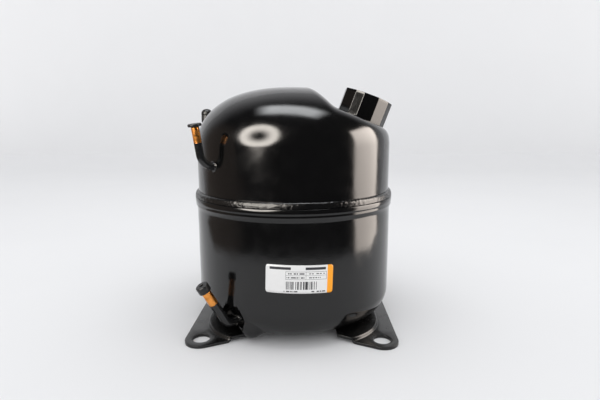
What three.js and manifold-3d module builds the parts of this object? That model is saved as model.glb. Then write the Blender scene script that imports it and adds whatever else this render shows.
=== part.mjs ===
// A hermetic reciprocating compressor: a welded two-piece steel shell on two pressed feet, with a spring-hung
// pump above its motor inside. Millimetres, +Z up. The origin is on the shell's axis, at the floor.
// +X is the side of the electric terminals, and the cylinder points along -X.
import * as THREE from "three";
import { mergeVertices } from "three/addons/utils/BufferGeometryUtils.js";
import Module from "manifold-3d";

// ---- Driving dimensions ----------------------------------------------------------------------------------

const gap = 0.3; // left between pieces that touch

const shellR = 112; // the upper shell, which slips inside the lower one's rim
const cupR = 113.8; // the lower shell
const shellWall = 3.2;
const shellBottomZ = 6.9;
const cornerR = 28; // outside radius between the shell's floor and its wall
const rimR = 116; // the lower shell flares out to take the upper one
const rimStartZ = 131;
const rimTopZ = 144.8;
const upperEdgeZ = 135;
const domeStartZ = 203;
const domeHeight = 64;
const domePower = 2.6; // superellipse power that makes the dome's shoulder full
const shellSides = 32;

const facetX = 78; // the terminals' flat, where its middle lies
const facetZ = 230;
const facetTilt = THREE.MathUtils.degToRad(20.4);
const facetHalf = 36.5; // from the middle to the foot of the step
const stepSlope = 1.1; // rise over run of the step up to the crest
const fence = { length: 56, width: 52, height: 29.4, corner: 13, wall: 1.5 };
const headerR = 17;
const pinCircleR = 8;
const pinR = 1.6;
const pinReach = 14;
const glassR = 3.6;

const footPlate = 3;
const footStep = 3.5; // the middle of each foot is pressed up this far
const footHole = { x: 95, y: 95, r: 9.25 };
const footTipR = 17;
const footInnerX = 48;
const footShoulderY = 91;
const pad = { halfX: 98, halfY: 107, corner: 62 };

// Each tube leaves the shell at an azimuth counted from -Y towards -X, turns once and ends outside.
const processTube = { azimuth: 45, r: 4, bore: 3, bend: 15, rootZ: 183, cornerR: 125 };
processTube.endR = 131.5;
processTube.endZ = 223;
const suctionTube = { azimuth: 110.9, r: 4.75, bore: 3.75, bend: 9, rootZ: 200, cornerR: 120.4 };
suctionTube.endR = suctionTube.cornerR;
suctionTube.endZ = 238;
const dischargeTube = { r: 4.75, bore: 3.55, bend: 12, start: [-53, -73, 18.5], corner: [-67, -91.5, 17] };
dischargeTube.end = [-88.6, -104.6, 62.2];
const recess = { azimuth: 33, droop: 20, r: 14, floorR: 104 };
const label = { width: 66.5, height: 28.9, corner: 2.5, x: 8.95, z: 74.9, turn: -1.7, thickness: 0.4 };

const cylinderZ = 190;
const boreR = 21.5;
const pistonR = 21.15;
const crankThrow = 11.3;
const rodLength = 52;
const wristX = crankThrow - rodLength; // rest is at bottom dead centre, rod straight
const blockFaceX = -79;
const barrelEndX = -38;
const headHalf = 26;
const headBoltAt = 20;

const shaftR = 11;
const bearingR = 11.35;
const rotorR = 37;
const statorR = 72;
const statorHalf = 62;
const statorBoreR = 37.7;
const statorBottomZ = 52;
const statorTopZ = 118;
const hangerR = 62; // circle of the stator bolts and of the springs under them
const plateZ = [143, 152];
const spring = { r: 8.7, wire: 1.3, turns: 4.5, bottomZ: 15.1, topZ: 50.1 };

// ---- Solids ----------------------------------------------------------------------------------------------

const wasm = await Module();
wasm.setup();

function solidOf(geometry) {
  const bare = geometry.index ? geometry.toNonIndexed() : geometry.clone();
  bare.deleteAttribute("normal");
  bare.deleteAttribute("uv");
  const merged = mergeVertices(bare, 1e-4);
  const vertProperties = merged.attributes.position.array;
  const triVerts = new Uint32Array(merged.index.array);
  return new wasm.Manifold(new wasm.Mesh({ numProp: 3, vertProperties, triVerts }));
}

function geometryOf(solid) {
  const mesh = solid.getMesh();
  const geometry = new THREE.BufferGeometry();
  geometry.setAttribute("position", new THREE.BufferAttribute(mesh.vertProperties, 3));
  geometry.setIndex(new THREE.BufferAttribute(mesh.triVerts, 1));
  geometry.computeVertexNormals();
  return geometry;
}

const join = (...geometries) => geometryOf(geometries.map(solidOf).reduce((a, b) => a.add(b)));
const cut = (body, ...tools) => geometryOf(tools.map(solidOf).reduce((a, b) => a.subtract(b), solidOf(body)));
const common = (a, b) => geometryOf(solidOf(a).intersect(solidOf(b)));

// A turned solid about Z. The profile holds [radius, z] points, anticlockwise with the radius to the right.
function turned(profile, sides = 32) {
  const points = profile.map(([r, z]) => new THREE.Vector2(r, z));
  return new THREE.LatheGeometry(points, sides).rotateX(Math.PI / 2);
}

// A turned ring: the same, with its profile closed on itself.
const ring = (profile, sides) => turned([...profile, profile[0]], sides);

// Points of an arc in the profile plane, from one angle to another in degrees.
function arc(centreR, centreZ, r, from, to, steps) {
  return Array.from({ length: steps + 1 }, (_, i) => {
    const a = THREE.MathUtils.degToRad(from + ((to - from) * i) / steps);
    return [centreR + r * Math.cos(a), centreZ + r * Math.sin(a)];
  });
}

function rodZ(r, z0, z1, x = 0, y = 0, sides = 24) {
  return new THREE.CylinderGeometry(r, r, z1 - z0, sides).rotateX(Math.PI / 2).translate(x, y, (z0 + z1) / 2);
}

function rodX(r, x0, x1, y = 0, z = 0, sides = 24) {
  return new THREE.CylinderGeometry(r, r, x1 - x0, sides).rotateZ(Math.PI / 2).translate((x0 + x1) / 2, y, z);
}

function block([x0, x1], [y0, y1], [z0, z1]) {
  const box = new THREE.BoxGeometry(x1 - x0, y1 - y0, z1 - z0);
  return box.translate((x0 + x1) / 2, (y0 + y1) / 2, (z0 + z1) / 2);
}

function slab(shape, z0, z1, curveSegments = 6) {
  const options = { depth: z1 - z0, bevelEnabled: false, curveSegments };
  return new THREE.ExtrudeGeometry(shape, options).translate(0, 0, z0);
}

function roundedRect(halfX, halfY, r) {
  const shape = new THREE.Shape();
  shape.absarc(halfX - r, halfY - r, r, 0, Math.PI / 2);
  shape.absarc(-halfX + r, halfY - r, r, Math.PI / 2, Math.PI);
  shape.absarc(-halfX + r, -halfY + r, r, Math.PI, 1.5 * Math.PI);
  shape.absarc(halfX - r, -halfY + r, r, 1.5 * Math.PI, 2 * Math.PI);
  return shape;
}

// A bar or, with a bore, a pipe that follows a curve.
function pipe(curve, r, bore, steps, halfSides) {
  const section = new THREE.Shape().absarc(0, 0, r, 0, 2 * Math.PI);
  if (bore) section.holes.push(new THREE.Path().absarc(0, 0, bore, 0, 2 * Math.PI, true));
  return new THREE.ExtrudeGeometry(section, { steps, curveSegments: halfSides, extrudePath: curve });
}

// ---- Finishes and the assembly ---------------------------------------------------------------------------

function finish(color, roughness, metalness) {
  return new THREE.MeshStandardMaterial({ color, roughness, metalness });
}
const blackPaint = finish(0x101011, 0.18, 0);
const weldPaint = finish(0x121213, 0.35, 0);
const copper = finish(0xc9713a, 0.35, 1);
const rubber = finish(0x232324, 0.8, 0);
const paperWhite = finish(0xebebe8, 0.5, 0);
const bareSteel = finish(0x9a9a98, 0.35, 1);
const springSteel = finish(0x6f7073, 0.3, 1);
const castIron = finish(0x55565a, 0.65, 0.8);
const lamination = finish(0x5e6368, 0.45, 0.9);
const winding = finish(0xa4572c, 0.5, 0.6);
const castAluminium = finish(0xb9bbbd, 0.4, 1);
const sealGlass = finish(0x2c4a3c, 0.15, 0);
const gasketPaper = finish(0x3c4a45, 0.85, 0);
const paleNylon = finish(0xd9d4c4, 0.5, 0);

const compressor = new THREE.Group();

function add(name, geometry, material, parent = compressor) {
  const mesh = new THREE.Mesh(geometry, material);
  mesh.name = name;
  parent.add(mesh);
  return mesh;
}

// ---- The terminals' flat ---------------------------------------------------------------------------------

// The terminals, their header and the fence are drawn lying on XY and carried by this tilted group.
const facet = new THREE.Group();
facet.position.set(facetX, 0, facetZ);
facet.rotation.y = facetTilt;
compressor.add(facet);
facet.updateMatrix();

// What is cut off the dome: all that lies above the flat and the step, lowered by the wall for the inside.
function facetCutter(lowered) {
  const down = lowered / Math.cos(facetTilt);
  const slope = Math.tan(facetTilt);
  const valleyX = facetX - facetHalf * Math.cos(facetTilt);
  const valleyZ = facetZ - down + (facetX - valleyX) * slope;
  const reachX = 40;
  const rise = 50;
  const outline = new THREE.Shape();
  outline.moveTo(valleyX - lowered / 2, valleyZ + (lowered / 2) * slope);
  outline.lineTo(facetX + reachX, facetZ - down - reachX * slope);
  outline.lineTo(facetX + reachX, valleyZ + rise);
  outline.lineTo(valleyX - lowered / 2 - rise / stepSlope, valleyZ + rise);
  const side = 2 * shellR;
  const options = { depth: side, bevelEnabled: false };
  return new THREE.ExtrudeGeometry(outline, options).rotateX(Math.PI / 2).translate(0, side / 2, 0);
}

// ---- Shells, feet and label ------------------------------------------------------------------------------

function domeProfile(inset, bottomZ, steps) {
  const r = shellR - inset;
  const points = [[0, bottomZ], [r, bottomZ]];
  for (let i = 0; i <= steps; i++) {
    const angle = (Math.PI / 2) * (1 - i / steps);
    const radius = i === steps ? 0 : r * Math.sin(angle) ** (2 / domePower);
    points.push([radius, domeStartZ + (domeHeight - inset) * Math.cos(angle)]);
  }
  return points;
}

function upperShell() {
  const outside = cut(turned(domeProfile(0, upperEdgeZ, 8), shellSides), facetCutter(0));
  const inside = cut(turned(domeProfile(shellWall, upperEdgeZ - 5, 6), shellSides), facetCutter(shellWall));
  const headerHole = rodZ(headerR + gap, -12, 12, 0, 0, 24).applyMatrix4(facet.matrix);
  return cut(outside, inside, headerHole, wallHole(processTube), wallHole(suctionTube));
}

// The direction of a tube that leaves the wall, its azimuth counted from -Y towards -X.
function outward(azimuth) {
  const a = THREE.MathUtils.degToRad(azimuth);
  return new THREE.Vector3(-Math.sin(a), -Math.cos(a), 0);
}

function wallHole(tube) {
  const length = 40;
  const hole = new THREE.CylinderGeometry(tube.r + gap, tube.r + gap, length, 16);
  const direction = outward(tube.azimuth);
  hole.applyQuaternion(new THREE.Quaternion().setFromUnitVectors(new THREE.Vector3(0, 1, 0), direction));
  const middle = direction.multiplyScalar(shellR - length / 2 + 12);
  return hole.translate(middle.x, middle.y, tube.rootZ);
}

// The round pressed pocket in the lower shell's corner, from which the discharge tube comes out.
function recessPlug(r, floorR) {
  const length = 40;
  const tilt = new THREE.Vector3(0, 0, -Math.sin(THREE.MathUtils.degToRad(recess.droop)));
  const direction = outward(recess.azimuth).multiplyScalar(Math.cos(THREE.MathUtils.degToRad(recess.droop)));
  direction.add(tilt);
  const plug = new THREE.CylinderGeometry(r, r, length, 24);
  plug.applyQuaternion(new THREE.Quaternion().setFromUnitVectors(new THREE.Vector3(0, 1, 0), direction));
  const corner = outward(recess.azimuth).multiplyScalar(cupR - cornerR);
  corner.z = shellBottomZ + cornerR;
  const middle = corner.addScaledVector(direction, floorR - (cupR - cornerR) + length / 2);
  return plug.translate(middle.x, middle.y, middle.z);
}

function lowerShell() {
  const r = cupR - cornerR;
  const cornerZ = shellBottomZ + cornerR;
  const outside = [
    [0, shellBottomZ],
    ...arc(r, cornerZ, cornerR, -90, 0, 5),
    [cupR, rimStartZ],
    [rimR - 1, rimStartZ + 5],
    [rimR, rimStartZ + 8],
    [rimR, rimTopZ],
    [0, rimTopZ],
  ];
  const inside = [
    [0, shellBottomZ + shellWall],
    ...arc(r, cornerZ, cornerR - shellWall, -90, 0, 3),
    [cupR - shellWall, rimStartZ - 1],
    [shellR + gap, rimStartZ + 4],
    [shellR + gap, rimTopZ + 5],
    [0, rimTopZ + 5],
  ];
  const outer = cut(turned(outside, shellSides), recessPlug(recess.r, recess.floorR));
  const inner = cut(turned(inside, shellSides), recessPlug(recess.r + shellWall, recess.floorR - shellWall));
  return cut(outer, inner, pipe(tubePath(dischargeTube), dischargeTube.r + gap, 0, 13, 4));
}

add("lower_shell", lowerShell(), blackPaint);
add("upper_shell", upperShell(), blackPaint);

const beadZ = rimTopZ + gap;
const beadFoot = [[shellR + gap, beadZ], [rimR - 0.6, beadZ], [rimR, beadZ + 2], [rimR - 1, beadZ + 4.6]];
const beadCrown = [[shellR + 1.4, beadZ + 6.2], [shellR + gap, beadZ + 6.4]];
add("seam_weld_bead", ring([...beadFoot, ...beadCrown], shellSides), weldPaint);

// One foot: sheet steel, pressed up in the middle where the shell is welded on, and flat round that.
function foot(side) {
  const outline = new THREE.Shape();
  const { x, y, r } = footHole;
  outline.moveTo(footInnerX, -footShoulderY);
  outline.lineTo(x - footTipR * 0.45, -y - footTipR * 0.9);
  outline.absarc(x, -y, footTipR, -0.65 * Math.PI, 0);
  outline.absarc(x, y, footTipR, 0, 0.65 * Math.PI);
  outline.lineTo(footInnerX, footShoulderY);
  const raisedTop = footStep + footPlate;
  const outsideOf = (inset, z0, z1) => {
    const frame = new THREE.Shape();
    frame.moveTo(-150, -150);
    frame.lineTo(150, -150);
    frame.lineTo(150, 150);
    frame.lineTo(-150, 150);
    const { halfX, halfY, corner } = pad;
    frame.holes.push(roundedRect(halfX - inset, halfY - inset, corner - inset));
    return slab(frame, z0, z1, 8);
  };
  const under = slab(roundedRect(pad.halfX - 3, pad.halfY - 3, pad.corner - 3), -1, footStep, 8);
  const holes = [-y, y].map((at) => rodZ(r, -1, 8, x, at, 24));
  const right = cut(slab(outline, 0, raisedTop, 8), outsideOf(0, footPlate, 10), under, ...holes);
  return side > 0 ? right : right.rotateZ(Math.PI);
}

add("left_foot", foot(-1), blackPaint);
add("right_foot", foot(1), blackPaint);

function nameLabel() {
  const innerR = cupR + gap;
  const outerR = innerR + label.thickness;
  const band = [[innerR, 50], [outerR, 50], [outerR, 105], [innerR, 105]];
  const patch = slab(roundedRect(label.width / 2, label.height / 2, label.corner), 0, 30, 3);
  patch.rotateZ(THREE.MathUtils.degToRad(label.turn)).rotateX(Math.PI / 2).translate(label.x, -95, label.z);
  return common(ring(band, 96), patch);
}

add("name_label", nameLabel(), paperWhite);

// ---- Terminals -------------------------------------------------------------------------------------------

const pinPlaces = [90, 210, 330].map((degrees) => {
  const a = THREE.MathUtils.degToRad(degrees);
  return [pinCircleR * Math.cos(a), pinCircleR * Math.sin(a)];
});

function header() {
  const wall = [[headerR - 1, -4], [headerR, -3], [headerR, 1.5], [headerR - 1.5, 2.5]];
  const cup = turned([[0, -4], ...wall, [0, 2.5]], 24);
  return cut(cup, ...pinPlaces.map(([x, y]) => rodZ(glassR + gap, -8, 8, x, y, 16)));
}

add("terminal_header", header(), bareSteel, facet);
["common", "start", "run"].forEach((use, i) => {
  const [x, y] = pinPlaces[i];
  add(`terminal_pin_${use}`, rodZ(pinR, -pinReach, pinReach, x, y, 12), bareSteel, facet);
  const glass = [[pinR + gap, -3.4], [glassR, -3.4], [glassR, 1.6], [pinR + gap, 3.6]];
  add(`terminal_glass_${use}`, ring(glass, 16).translate(x, y, 0), sealGlass, facet);
});

function terminalFence() {
  const { length, width, height, corner, wall } = fence;
  const shape = roundedRect(length / 2, width / 2, corner);
  shape.holes.push(roundedRect(length / 2 - wall, width / 2 - wall, corner - wall));
  const notches = [-9, 9].map((x) => rodZ(3, -width, width, x, 0, 12).rotateX(Math.PI / 2));
  return cut(slab(shape, gap, height, 5), ...notches);
}

add("terminal_fence", terminalFence(), blackPaint, facet);

// ---- Tubes and their transport plugs ---------------------------------------------------------------------

// Straight, round one bend at the corner, and straight again.
function bentPath(start, corner, end, bend) {
  const [a, b, c] = [start, corner, end].map((p) => new THREE.Vector3(...p));
  const back = a.clone().sub(b).normalize();
  const on = c.clone().sub(b).normalize();
  const turn = Math.PI - back.angleTo(on);
  const reach = bend * Math.tan(turn / 2);
  const handle = reach - (4 / 3) * Math.tan(turn / 4) * bend;
  const from = (direction, distance) => b.clone().addScaledVector(direction, distance);
  const path = new THREE.CurvePath();
  path.add(new THREE.LineCurve3(a, from(back, reach)));
  const bendPoints = [from(back, reach), from(back, handle), from(on, handle), from(on, reach)];
  path.add(new THREE.CubicBezierCurve3(...bendPoints));
  path.add(new THREE.LineCurve3(from(on, reach), c));
  return path;
}

function tubePath(tube) {
  if (tube.start) return bentPath(tube.start, tube.corner, tube.end, tube.bend);
  const at = (r, z) => outward(tube.azimuth).multiplyScalar(r).setZ(z).toArray();
  const { rootZ, cornerR, endR, endZ, bend } = tube;
  return bentPath(at(shellR - 12, rootZ), at(cornerR, rootZ), at(endR, endZ), bend);
}

const tube = (name, sizes) => add(name, pipe(tubePath(sizes), sizes.r, sizes.bore, 13, 4), copper);
tube("suction_tube", suctionTube);
tube("process_tube", processTube);
tube("discharge_tube", dischargeTube);

// A plug is turned about Z with the tube's end at its origin, then stood on that end.
function plug(name, geometry, sizes) {
  const path = tubePath(sizes);
  const mesh = add(name, geometry, rubber);
  mesh.position.copy(path.getPointAt(1));
  mesh.quaternion.setFromUnitVectors(new THREE.Vector3(0, 0, 1), path.getTangentAt(1));
}

// A thin flange on a stem pushed into the process tube.
const stemR = processTube.bore - gap;
const plugFlange = [[0, -9], [stemR, -9], [stemR, gap], [6.8, gap], [6.8, 2.3], [5.4, 3.3], [0, 3.3]];
plug("process_plug", turned(plugFlange, 20), processTube);

// A domed cap pulled over the suction tube.
const capInR = suctionTube.r + gap;
const suctionCap = [[0, 1], [capInR, 1], [capInR, -9], [7, -9], [7, 3.2], [5.8, 6], [3.2, 7.6], [0, 8]];
plug("suction_plug", turned(suctionCap, 20), suctionTube);

// A cup with a vent hole, pulled over the discharge tube.
const cupInR = dischargeTube.r + gap;
const dischargeCup = [[cupInR, -4.5], [6.6, -4.5], [6.6, 2.4], [5.8, 3.4], [2, 3.4], [2, 1], [cupInR, 1]];
plug("discharge_plug", ring(dischargeCup, 20), dischargeTube);

// ---- Suspension ------------------------------------------------------------------------------------------

const floorZ = shellBottomZ + shellWall;
const hangerAt = hangerR * Math.SQRT1_2;
const corners = [[1, 1], [-1, 1], [-1, -1], [1, -1]].map(([x, y]) => [x * hangerAt, y * hangerAt]);

class Helix extends THREE.Curve {
  getPoint(t, target = new THREE.Vector3()) {
    const angle = 2 * Math.PI * spring.turns * t;
    const z = spring.bottomZ + (spring.topZ - spring.bottomZ) * t;
    return target.set(spring.r * Math.cos(angle), spring.r * Math.sin(angle), z);
  }
}

const seat = [[0, floorZ + gap], [12, floorZ + gap], [12, 13.5], [6.5, 13.5], [6.5, 24], [4.5, 26], [0, 26]];
corners.forEach(([x, y], i) => {
  add(`spring_seat_${i + 1}`, turned(seat, 16), bareSteel).position.set(x, y, 0);
  const coil = pipe(new Helix(), spring.wire, 0, 36, 3);
  add(`suspension_spring_${i + 1}`, coil, springSteel).position.set(x, y, 0);
});

// ---- Motor -----------------------------------------------------------------------------------------------

function statorCore() {
  const outline = new THREE.Shape();
  const flat = Math.acos(statorHalf / statorR);
  for (let i = 0; i < 4; i++) {
    outline.absarc(0, 0, statorR, (i * Math.PI) / 2 + flat, ((i + 1) * Math.PI) / 2 - flat);
  }
  const slots = 18;
  const teeth = new THREE.Path();
  for (let i = 0; i < slots; i++) {
    for (const [r, offset] of [[statorBoreR, -0.3], [statorBoreR, 0], [54, 0], [54, 0.7]]) {
      const a = (2 * Math.PI * (i + offset * 0.6)) / slots;
      const [x, y] = [r * Math.cos(a), r * Math.sin(a)];
      if (i || offset !== -0.3) teeth.lineTo(x, y);
      else teeth.moveTo(x, y);
    }
  }
  outline.holes.push(teeth);
  const holes = corners.map(([x, y]) => rodZ(3.3, statorBottomZ - 1, statorTopZ + 1, x, y, 10));
  return cut(slab(outline, statorBottomZ, statorTopZ, 3), ...holes);
}

const endTurns = (z0, z1) => ring([[41, z0], [53.5, z0], [54, (z0 + z1) / 2], [51, z1], [43.5, z1]], 24);
add("stator_core", statorCore(), lamination);
add("upper_winding", endTurns(statorTopZ + gap, 139.5), winding);
const lowerCoil = [[43.5, 32], [50, 32], [51.5, 40], [51, statorBottomZ - gap], [41, statorBottomZ - gap]];
add("lower_winding", ring(lowerCoil, 24), winding);

const boltHeadZ = statorBottomZ - gap;
corners.forEach(([x, y], i) => {
  const bolt = join(rodZ(2.9, boltHeadZ - 2, 139, x, y, 12), rodZ(5.6, boltHeadZ - 4.5, boltHeadZ, x, y, 6));
  add(`stator_bolt_${i + 1}`, bolt, bareSteel);
});

// ---- Cylinder block --------------------------------------------------------------------------------------

function cylinderBlock() {
  const legs = corners.map(([x, y]) => rodZ(7.5, statorTopZ + gap, plateZ[1], x, y, 12));
  const body = join(
    rodZ(statorR - 1, ...plateZ, 0, 0, 28),
    rodZ(19.5, 112, 153.7, 0, 0, 20),
    rodX(28, blockFaceX, barrelEndX, 0, cylinderZ, 20),
    block([blockFaceX, barrelEndX], [-20, 20], [plateZ[0], 172]),
    block([blockFaceX, blockFaceX + 8], [-headHalf, headHalf], [cylinderZ - headHalf, cylinderZ + headHalf]),
    ...legs,
  );
  const boltHoles = corners.map(([x, y]) => rodZ(3.2, 100, 140, x, y, 10));
  const bore = rodX(boreR, blockFaceX - 5, barrelEndX + 5, 0, cylinderZ, 24);
  const window = rodZ(11, 140, 155, 43, 0, 16);
  return cut(body, rodZ(bearingR, 100, 160, 0, 0, 24), bore, window, ...boltHoles, ...headBoltHoles());
}

const headSigns = [[1, 1], [-1, 1], [-1, -1], [1, -1]];
const headCorners = headSigns.map(([y, z]) => [y * headBoltAt, cylinderZ + z * headBoltAt]);
function headBoltHoles() {
  return headCorners.map(([y, z]) => rodX(2.8, -110, blockFaceX + 10, y, z, 10));
}

add("cylinder_block", cylinderBlock(), castIron);
add("thrust_washer", ring([[bearingR, 154], [19, 154], [19, 156.7], [bearingR, 156.7]], 24), bareSteel);

// ---- Valve plate, reeds and head -------------------------------------------------------------------------

const squareZ = [cylinderZ - headHalf, cylinderZ + headHalf];
const gasketX = [-80.1, blockFaceX - gap];
const valvePlateX = [-84.4, -80.4];
const headX = [-98.5, -84.7];
const reedZ = [176, 204];

function headGasket() {
  const sheet = block(gasketX, [-headHalf, headHalf], squareZ);
  return cut(sheet, rodX(22.3, -90, -70, 0, cylinderZ, 20), ...headBoltHoles());
}

function valvePlate() {
  const ports = [rodX(3.5, -90, -75, -8, 199, 16), rodX(3.5, -90, -75, 9, 181, 16)];
  return cut(block(valvePlateX, [-headHalf, headHalf], squareZ), ...ports, ...headBoltHoles());
}

function cylinderHead() {
  const body = block(headX, [-headHalf, headHalf], squareZ);
  const suctionChamber = block([-95.5, headX[1] + 1], [-16, -1.5], [174, 206]);
  const dischargeChamber = block([-95.5, headX[1] + 1], [1.5, 16], [174, 206]);
  const inlet = rodX(4.5, -15, 0, 0, 0, 16).rotateZ(Math.PI / 2).translate(-91, headHalf + 2, 180);
  return cut(body, suctionChamber, dischargeChamber, inlet, ...headBoltHoles());
}

add("head_gasket", headGasket(), gasketPaper);
add("valve_plate", valvePlate(), bareSteel);
add("suction_reed", block([-80.1, -79.7], [-14, -2], reedZ), springSteel);
add("discharge_reed", block([-85.2, -84.8], [3, 15], reedZ), springSteel);
add("cylinder_head", cylinderHead(), castIron);
headCorners.forEach(([y, z], i) => {
  const shank = rodX(2.5, headX[0] - 1, blockFaceX + 7.5, y, z, 10);
  const bolt = join(shank, rodX(4.2, headX[0] - 3.3, headX[0] - gap, y, z, 6));
  add(`head_bolt_${i + 1}`, bolt, bareSteel);
});

// ---- Mufflers, discharge loop and leads ------------------------------------------------------------------

const suctionMuffler = join(
  slab(roundedRect(16, 16.5, 6), 165, 207, 3).translate(-64, 48, 0),
  block([-97, -86], [headHalf + gap, 36], [172, 188]),
  block([-97, -70], [30, 40], [172, 188]),
);
add("suction_muffler", suctionMuffler, paleNylon);

const mufflerAt = [-26, -50];
const mufflerShape = turned([[0, 152.3], [17, 152.3], [17, 172], [12, 178], [0, 179]], 20);
const mufflerBody = mufflerShape.translate(...mufflerAt, 0);
const headPipe = new THREE.CatmullRomCurve3([
  new THREE.Vector3(-92, -headHalf - 2 * gap, 198),
  new THREE.Vector3(-91.8, -36, 198),
  new THREE.Vector3(-84, -48, 194),
  new THREE.Vector3(-62, -56, 184),
  new THREE.Vector3(-34, -54, 170),
]);
add("discharge_muffler", join(mufflerBody, pipe(headPipe, 3.4, 0, 14, 4)), bareSteel);

// From the muffler once round the motor and down to the discharge tube, limp enough to let the pump shake.
function loopPath() {
  const points = [[mufflerAt[0], mufflerAt[1] - 17 - gap, 160], [mufflerAt[0] + 0.3, -75, 160]];
  const turns = 13;
  for (let i = 0; i <= turns; i++) {
    const a = THREE.MathUtils.degToRad(-97 + (304 * i) / turns);
    const r = 88;
    points.push([r * Math.cos(a), r * Math.sin(a), 156 - (112 * i) / turns]);
  }
  points.push([-79, -33, 32], [-66, -54, 21], [-51, -64, 18.6], [-52.75, -72.65, 18.5]);
  return new THREE.CatmullRomCurve3(points.map((p) => new THREE.Vector3(...p)), false, "centripetal");
}
add("discharge_loop", pipe(loopPath(), 3, 0, 44, 3), copper);

function leadHarness() {
  const route = [[71, 0, 208], [82, 12, 196], [88, 18, 174], [88, 16, 150], [76, 8, 134], [55, 3, 129]];
  const leads = pipe(new THREE.CatmullRomCurve3(route.map((p) => new THREE.Vector3(...p))), 3.2, 0, 18, 4);
  const connector = rodZ(12.5, -23, -pinReach - 0.6, 0, 0, 16).applyMatrix4(facet.matrix);
  return join(leads, connector);
}
add("lead_harness", leadHarness(), paleNylon);

// ---- Crankshaft and rotor --------------------------------------------------------------------------------

const webZ = [157, 167];
function crankWeb() {
  const web = new THREE.Shape();
  web.absarc(0, 0, 13, Math.PI / 2, 1.5 * Math.PI);
  web.absarc(crankThrow, 0, 13, -Math.PI / 2, Math.PI / 2);
  return slab(web, ...webZ, 8);
}
const shaft = turned([[0, 38], [shaftR - 1, 38], [shaftR, 39], [shaftR, webZ[0] + 1], [0, webZ[0] + 1]], 24);
add("crankshaft", join(shaft, crankWeb()), castIron);

function counterweight() {
  const sweep = THREE.MathUtils.degToRad(62);
  const shape = new THREE.Shape();
  shape.absarc(0, 0, 34, Math.PI - sweep, Math.PI + sweep);
  shape.absarc(0, 0, 13 + gap, Math.PI + sweep, Math.PI - sweep, true);
  return slab(shape, ...webZ, 8);
}
add("counterweight", counterweight(), castIron);

const rotorIn = shaftR + gap;
const rotorOutline = [[rotorIn, 50], [24, 50], [24, 46], [rotorR - 2, 46], [rotorR, 51], [rotorR, 119]];
const rotorTop = [[rotorR - 2, 124], [24, 124], [24, 108], [rotorIn, 108]];
add("rotor", ring([...rotorOutline, ...rotorTop], 24), lamination);

const pickupCone = turned([[0, 17], [3.4, 17], [8.6, 37.4], [0, 37.4]], 20);
add("oil_pickup", cut(pickupCone, rodZ(1.8, 10, 33, 0, 0, 10)), bareSteel);

// ---- Piston and rod --------------------------------------------------------------------------------------

const crownX = wristX - 13.9;
const crownThickness = 4.6;
const skirtX = wristX + 12;
const rodZs = [cylinderZ - 8, cylinderZ + 8];
function piston() {
  const body = rodX(pistonR, crownX, skirtX, 0, cylinderZ, 24);
  const hollow = rodX(17, crownX + crownThickness, skirtX + 5, 0, cylinderZ, 16);
  const shellOnly = cut(body, hollow);
  const bosses = [[cylinderZ - 19, rodZs[0] - gap], [rodZs[1] + gap, cylinderZ + 19]];
  const posts = bosses.map(([z0, z1]) => rodZ(8, z0, z1, wristX, 0, 16));
  return cut(join(shellOnly, ...posts), rodZ(5.3, 160, 220, wristX, 0, 16));
}
add("piston", piston(), castIron);
add("wrist_pin", rodZ(4.9, cylinderZ - 18.5, cylinderZ + 18.5, wristX, 0, 16), bareSteel);

const rodBody = join(
  rodZ(8.5, ...rodZs, wristX, 0, 20),
  rodZ(14.5, ...rodZs, crankThrow, 0, 24),
  block([wristX + 3, crankThrow - 5], [-5.5, 5.5], [cylinderZ - 5, cylinderZ + 5]),
);
const crankPinR = 9.4;
const rodHoles = [rodZ(5.3, 170, 210, wristX, 0, 16), rodZ(crankPinR + 0.4, 170, 210, crankThrow, 0, 24)];
add("connecting_rod", cut(rodBody, ...rodHoles), castAluminium);
add("crank_pin", rodZ(crankPinR, webZ[1] + gap, 201, crankThrow, 0, 24), bareSteel);

export default compressor;
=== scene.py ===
# A hermetic reciprocating compressor: a welded steel shell on two feet, with its pump hung on springs inside.
# Meshes are modelled in millimetres, +Z up, and piece() brings each one to the frame's metres.
import math

import bmesh
import bpy
from mathutils import Euler, Matrix, Quaternion, Vector, noise


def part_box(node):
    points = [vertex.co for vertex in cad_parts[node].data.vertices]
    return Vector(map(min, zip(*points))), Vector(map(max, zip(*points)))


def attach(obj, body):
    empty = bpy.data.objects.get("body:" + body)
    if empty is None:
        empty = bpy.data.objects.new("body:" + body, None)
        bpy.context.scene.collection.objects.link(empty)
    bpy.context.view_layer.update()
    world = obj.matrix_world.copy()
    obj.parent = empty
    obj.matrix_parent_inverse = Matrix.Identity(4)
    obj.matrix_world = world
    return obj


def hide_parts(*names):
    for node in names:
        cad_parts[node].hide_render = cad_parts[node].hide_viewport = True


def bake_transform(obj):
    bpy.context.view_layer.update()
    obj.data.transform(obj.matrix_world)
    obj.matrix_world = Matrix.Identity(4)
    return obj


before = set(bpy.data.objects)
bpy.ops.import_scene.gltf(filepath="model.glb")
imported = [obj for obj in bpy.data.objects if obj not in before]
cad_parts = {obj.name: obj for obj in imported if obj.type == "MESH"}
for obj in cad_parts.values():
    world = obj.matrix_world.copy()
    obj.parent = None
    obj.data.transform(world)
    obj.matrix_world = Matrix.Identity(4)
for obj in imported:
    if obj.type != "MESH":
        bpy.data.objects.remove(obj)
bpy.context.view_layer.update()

# ---- Upper cover ----------------------------------------------------------------------------------------
# Deep-drawn steel lid, 3.2 mm thick, with a sloping flat pressed into its right shoulder for the terminals.
# It slips inside the lower cup's rim, and the whole shell is dipped in gloss black paint once it is welded.

MM = 0.001


def box(node):
    """The lowest and highest corners of a CAD node, in millimetres."""
    low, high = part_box(node)
    return low / MM, high / MM


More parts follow.
